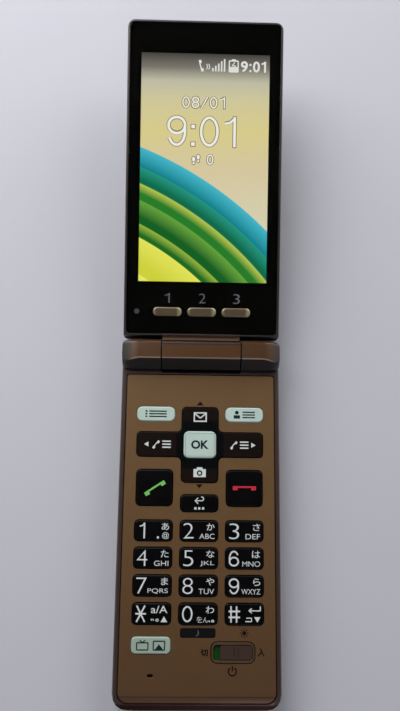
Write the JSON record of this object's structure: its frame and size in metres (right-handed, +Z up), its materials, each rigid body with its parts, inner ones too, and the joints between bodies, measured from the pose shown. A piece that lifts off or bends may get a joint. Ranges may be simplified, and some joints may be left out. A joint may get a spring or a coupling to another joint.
{
  "type": "flip phone",
  "caption": "Slim flip phone with a hinged display lid, raised keypad, cross-shaped direction key, quick keys and a sliding power switch.",
  "frame": {"origin": "middle of the base's flat back, on the face it rests on", "axes": "+X to the right across the keys, +Y from the keypad end towards the opened lid, +Z up out of the keypad"},
  "size_m": [0.0512, 0.2154, 0.0287],
  "materials": {
    "shell_brown": "satin metallic paint, grey brown",
    "panel_gold": "fine satin metallic paint, gold brown",
    "rear_plastic": "matt dark brown",
    "cover_brown": "satin metallic paint, copper brown",
    "lid_rim": "satin metallic grey",
    "window_glass": "polished, dark",
    "display": "lit display",
    "key_black": "gloss black cap",
    "key_lit": "translucent mint white, lit from below",
    "quick_key_metal": "satin champagne",
    "switch_plastic": "satin brown",
    "mat_rubber": "translucent silicone",
    "flap_rubber": "matt brown elastomer",
    "board_green": "solder mask",
    "black_plastic": "moulded black",
    "cell_wrap": "lithium cell in a dark wrap",
    "bright_steel": "pressed and plated",
    "lens_black": "gloss black"
  },
  "bodies": {
    "base": {"keypad_housing": "shell_brown", "keypad_panel": "panel_gold", "rear_housing": "rear_plastic", "battery_cover": "cover_brown", "battery_pack": "cell_wrap", "battery_terminal": "black_plastic", "key_mat": "mat_rubber", "main_board": "board_green", "shield_can": "bright_steel", "sim_socket": "bright_steel", "loudspeaker": "black_plastic", "vibration_motor": "bright_steel", "microphone": "bright_steel", "usb_socket": "bright_steel", "switch_unit": "black_plastic", "switch_bezel": "switch_plastic", "case_screw_1": "bright_steel", "case_screw_2": "bright_steel", "case_screw_3": "bright_steel", "case_screw_4": "bright_steel", "hinge_cap_left": "shell_brown", "hinge_cap_right": "shell_brown", "hinge_cam_case": "bright_steel"},
    "lid": {"lid_frame": "lid_rim", "display_window": "window_glass", "display_module": "display", "lid_cover": "cover_brown", "lid_board": "board_green", "receiver": "bright_steel", "sub_display_window": "window_glass", "camera_lens": "lens_black", "hinge_cam_shaft": "bright_steel", "hinge_pin": "bright_steel"},
    "key_1": {"key_1": "key_black"},
    "key_2": {"key_2": "key_black"},
    "key_3": {"key_3": "key_black"},
    "key_4": {"key_4": "key_black"},
    "key_5": {"key_5": "key_black"},
    "key_6": {"key_6": "key_black"},
    "key_7": {"key_7": "key_black"},
    "key_8": {"key_8": "key_black"},
    "key_9": {"key_9": "key_black"},
    "key_star": {"key_star": "key_black"},
    "key_0": {"key_0": "key_black"},
    "key_hash": {"key_hash": "key_black"},
    "menu_key": {"menu_key": "key_lit"},
    "contacts_key": {"contacts_key": "key_lit"},
    "call_key": {"call_key": "key_black"},
    "end_key": {"end_key": "key_black"},
    "back_key": {"back_key": "key_black"},
    "photo_key": {"photo_key": "key_lit"},
    "ok_key": {"ok_key": "key_lit"},
    "nav_pivot": {"nav_pivot": "bright_steel"},
    "nav_key": {"nav_key": "key_black"},
    "power_slider": {"power_slider": "switch_plastic"},
    "port_cover": {"port_cover": "flap_rubber"},
    "quick_key_1": {"quick_key_1": "quick_key_metal"},
    "quick_key_2": {"quick_key_2": "quick_key_metal"},
    "quick_key_3": {"quick_key_3": "quick_key_metal"}
  },
  "joints": [
    {"name": "lid_hinge", "type": "hinge", "parent": "base", "child": "lid", "pos_m": [0, 0.05375, 0.0096], "axis": [1, 0, 0], "range_deg": [0, 169.67]},
    {"name": "press_1", "type": "slide", "parent": "base", "child": "key_1", "axis": [0, 0, -1], "range_m": [0, 0.0003], "stiffness_N_per_m": 2000, "springref_m": -0.0002},
    {"name": "press_2", "type": "slide", "parent": "base", "child": "key_2", "axis": [0, 0, -1], "range_m": [0, 0.0003], "stiffness_N_per_m": 2000, "springref_m": -0.0002},
    {"name": "press_3", "type": "slide", "parent": "base", "child": "key_3", "axis": [0, 0, -1], "range_m": [0, 0.0003], "stiffness_N_per_m": 2000, "springref_m": -0.0002},
    {"name": "press_4", "type": "slide", "parent": "base", "child": "key_4", "axis": [0, 0, -1], "range_m": [0, 0.0003], "stiffness_N_per_m": 2000, "springref_m": -0.0002},
    {"name": "press_5", "type": "slide", "parent": "base", "child": "key_5", "axis": [0, 0, -1], "range_m": [0, 0.0003], "stiffness_N_per_m": 2000, "springref_m": -0.0002},
    {"name": "press_6", "type": "slide", "parent": "base", "child": "key_6", "axis": [0, 0, -1], "range_m": [0, 0.0003], "stiffness_N_per_m": 2000, "springref_m": -0.0002},
    {"name": "press_7", "type": "slide", "parent": "base", "child": "key_7", "axis": [0, 0, -1], "range_m": [0, 0.0003], "stiffness_N_per_m": 2000, "springref_m": -0.0002},
    {"name": "press_8", "type": "slide", "parent": "base", "child": "key_8", "axis": [0, 0, -1], "range_m": [0, 0.0003], "stiffness_N_per_m": 2000, "springref_m": -0.0002},
    {"name": "press_9", "type": "slide", "parent": "base", "child": "key_9", "axis": [0, 0, -1], "range_m": [0, 0.0003], "stiffness_N_per_m": 2000, "springref_m": -0.0002},
    {"name": "press_star", "type": "slide", "parent": "base", "child": "key_star", "axis": [0, 0, -1], "range_m": [0, 0.0003], "stiffness_N_per_m": 2000, "springref_m": -0.0002},
    {"name": "press_0", "type": "slide", "parent": "base", "child": "key_0", "axis": [0, 0, -1], "range_m": [0, 0.0003], "stiffness_N_per_m": 2000, "springref_m": -0.0002},
    {"name": "press_hash", "type": "slide", "parent": "base", "child": "key_hash", "axis": [0, 0, -1], "range_m": [0, 0.0003], "stiffness_N_per_m": 2000, "springref_m": -0.0002},
    {"name": "press_menu", "type": "slide", "parent": "base", "child": "menu_key", "axis": [0, 0, -1], "range_m": [0, 0.0003], "stiffness_N_per_m": 2000, "springref_m": -0.0002},
    {"name": "press_contacts", "type": "slide", "parent": "base", "child": "contacts_key", "axis": [0, 0, -1], "range_m": [0, 0.0003], "stiffness_N_per_m": 2000, "springref_m": -0.0002},
    {"name": "press_call", "type": "slide", "parent": "base", "child": "call_key", "axis": [0, 0, -1], "range_m": [0, 0.0003], "stiffness_N_per_m": 2000, "springref_m": -0.0002},
    {"name": "press_end", "type": "slide", "parent": "base", "child": "end_key", "axis": [0, 0, -1], "range_m": [0, 0.0003], "stiffness_N_per_m": 2000, "springref_m": -0.0002},
    {"name": "press_back", "type": "slide", "parent": "base", "child": "back_key", "axis": [0, 0, -1], "range_m": [0, 0.0003], "stiffness_N_per_m": 2000, "springref_m": -0.0002},
    {"name": "press_photo", "type": "slide", "parent": "base", "child": "photo_key", "axis": [0, 0, -1], "range_m": [0, 0.0003], "stiffness_N_per_m": 2000, "springref_m": -0.0002},
    {"name": "press_ok", "type": "slide", "parent": "base", "child": "ok_key", "axis": [0, 0, -1], "range_m": [0, 0.0003], "stiffness_N_per_m": 2000, "springref_m": -0.0002},
    {"name": "nav_up_down", "type": "hinge", "parent": "base", "child": "nav_pivot", "pos_m": [0, 0.0247, 0.00736], "axis": [1, 0, 0], "range_deg": [-1.3, 1.3], "stiffness_Nm_per_rad": 0.5},
    {"name": "nav_left_right", "type": "hinge", "parent": "nav_pivot", "child": "nav_key", "pos_m": [0, 0.0247, 0.00736], "axis": [0, 1, 0], "range_deg": [-0.8, 0.8], "stiffness_Nm_per_rad": 0.5},
    {"name": "power_slide", "type": "slide", "parent": "base", "child": "power_slider", "axis": [1, 0, 0], "range_m": [-0.002, 0]},
    {"name": "port_flap", "type": "hinge", "parent": "base", "child": "port_cover", "pos_m": [-0.0255, 0.04125, 0.00395], "axis": [0, 0, -1], "range_deg": [0, 100]},
    {"name": "press_quick_1", "type": "slide", "parent": "lid", "child": "quick_key_1", "axis": [0, 0.1793, -0.9838], "range_m": [0, 0.0003], "stiffness_N_per_m": 2000, "springref_m": -0.0002},
    {"name": "press_quick_2", "type": "slide", "parent": "lid", "child": "quick_key_2", "axis": [0, 0.1793, -0.9838], "range_m": [0, 0.0003], "stiffness_N_per_m": 2000, "springref_m": -0.0002},
    {"name": "press_quick_3", "type": "slide", "parent": "lid", "child": "quick_key_3", "axis": [0, 0.1793, -0.9838], "range_m": [0, 0.0003], "stiffness_N_per_m": 2000, "springref_m": -0.0002}
  ]
}
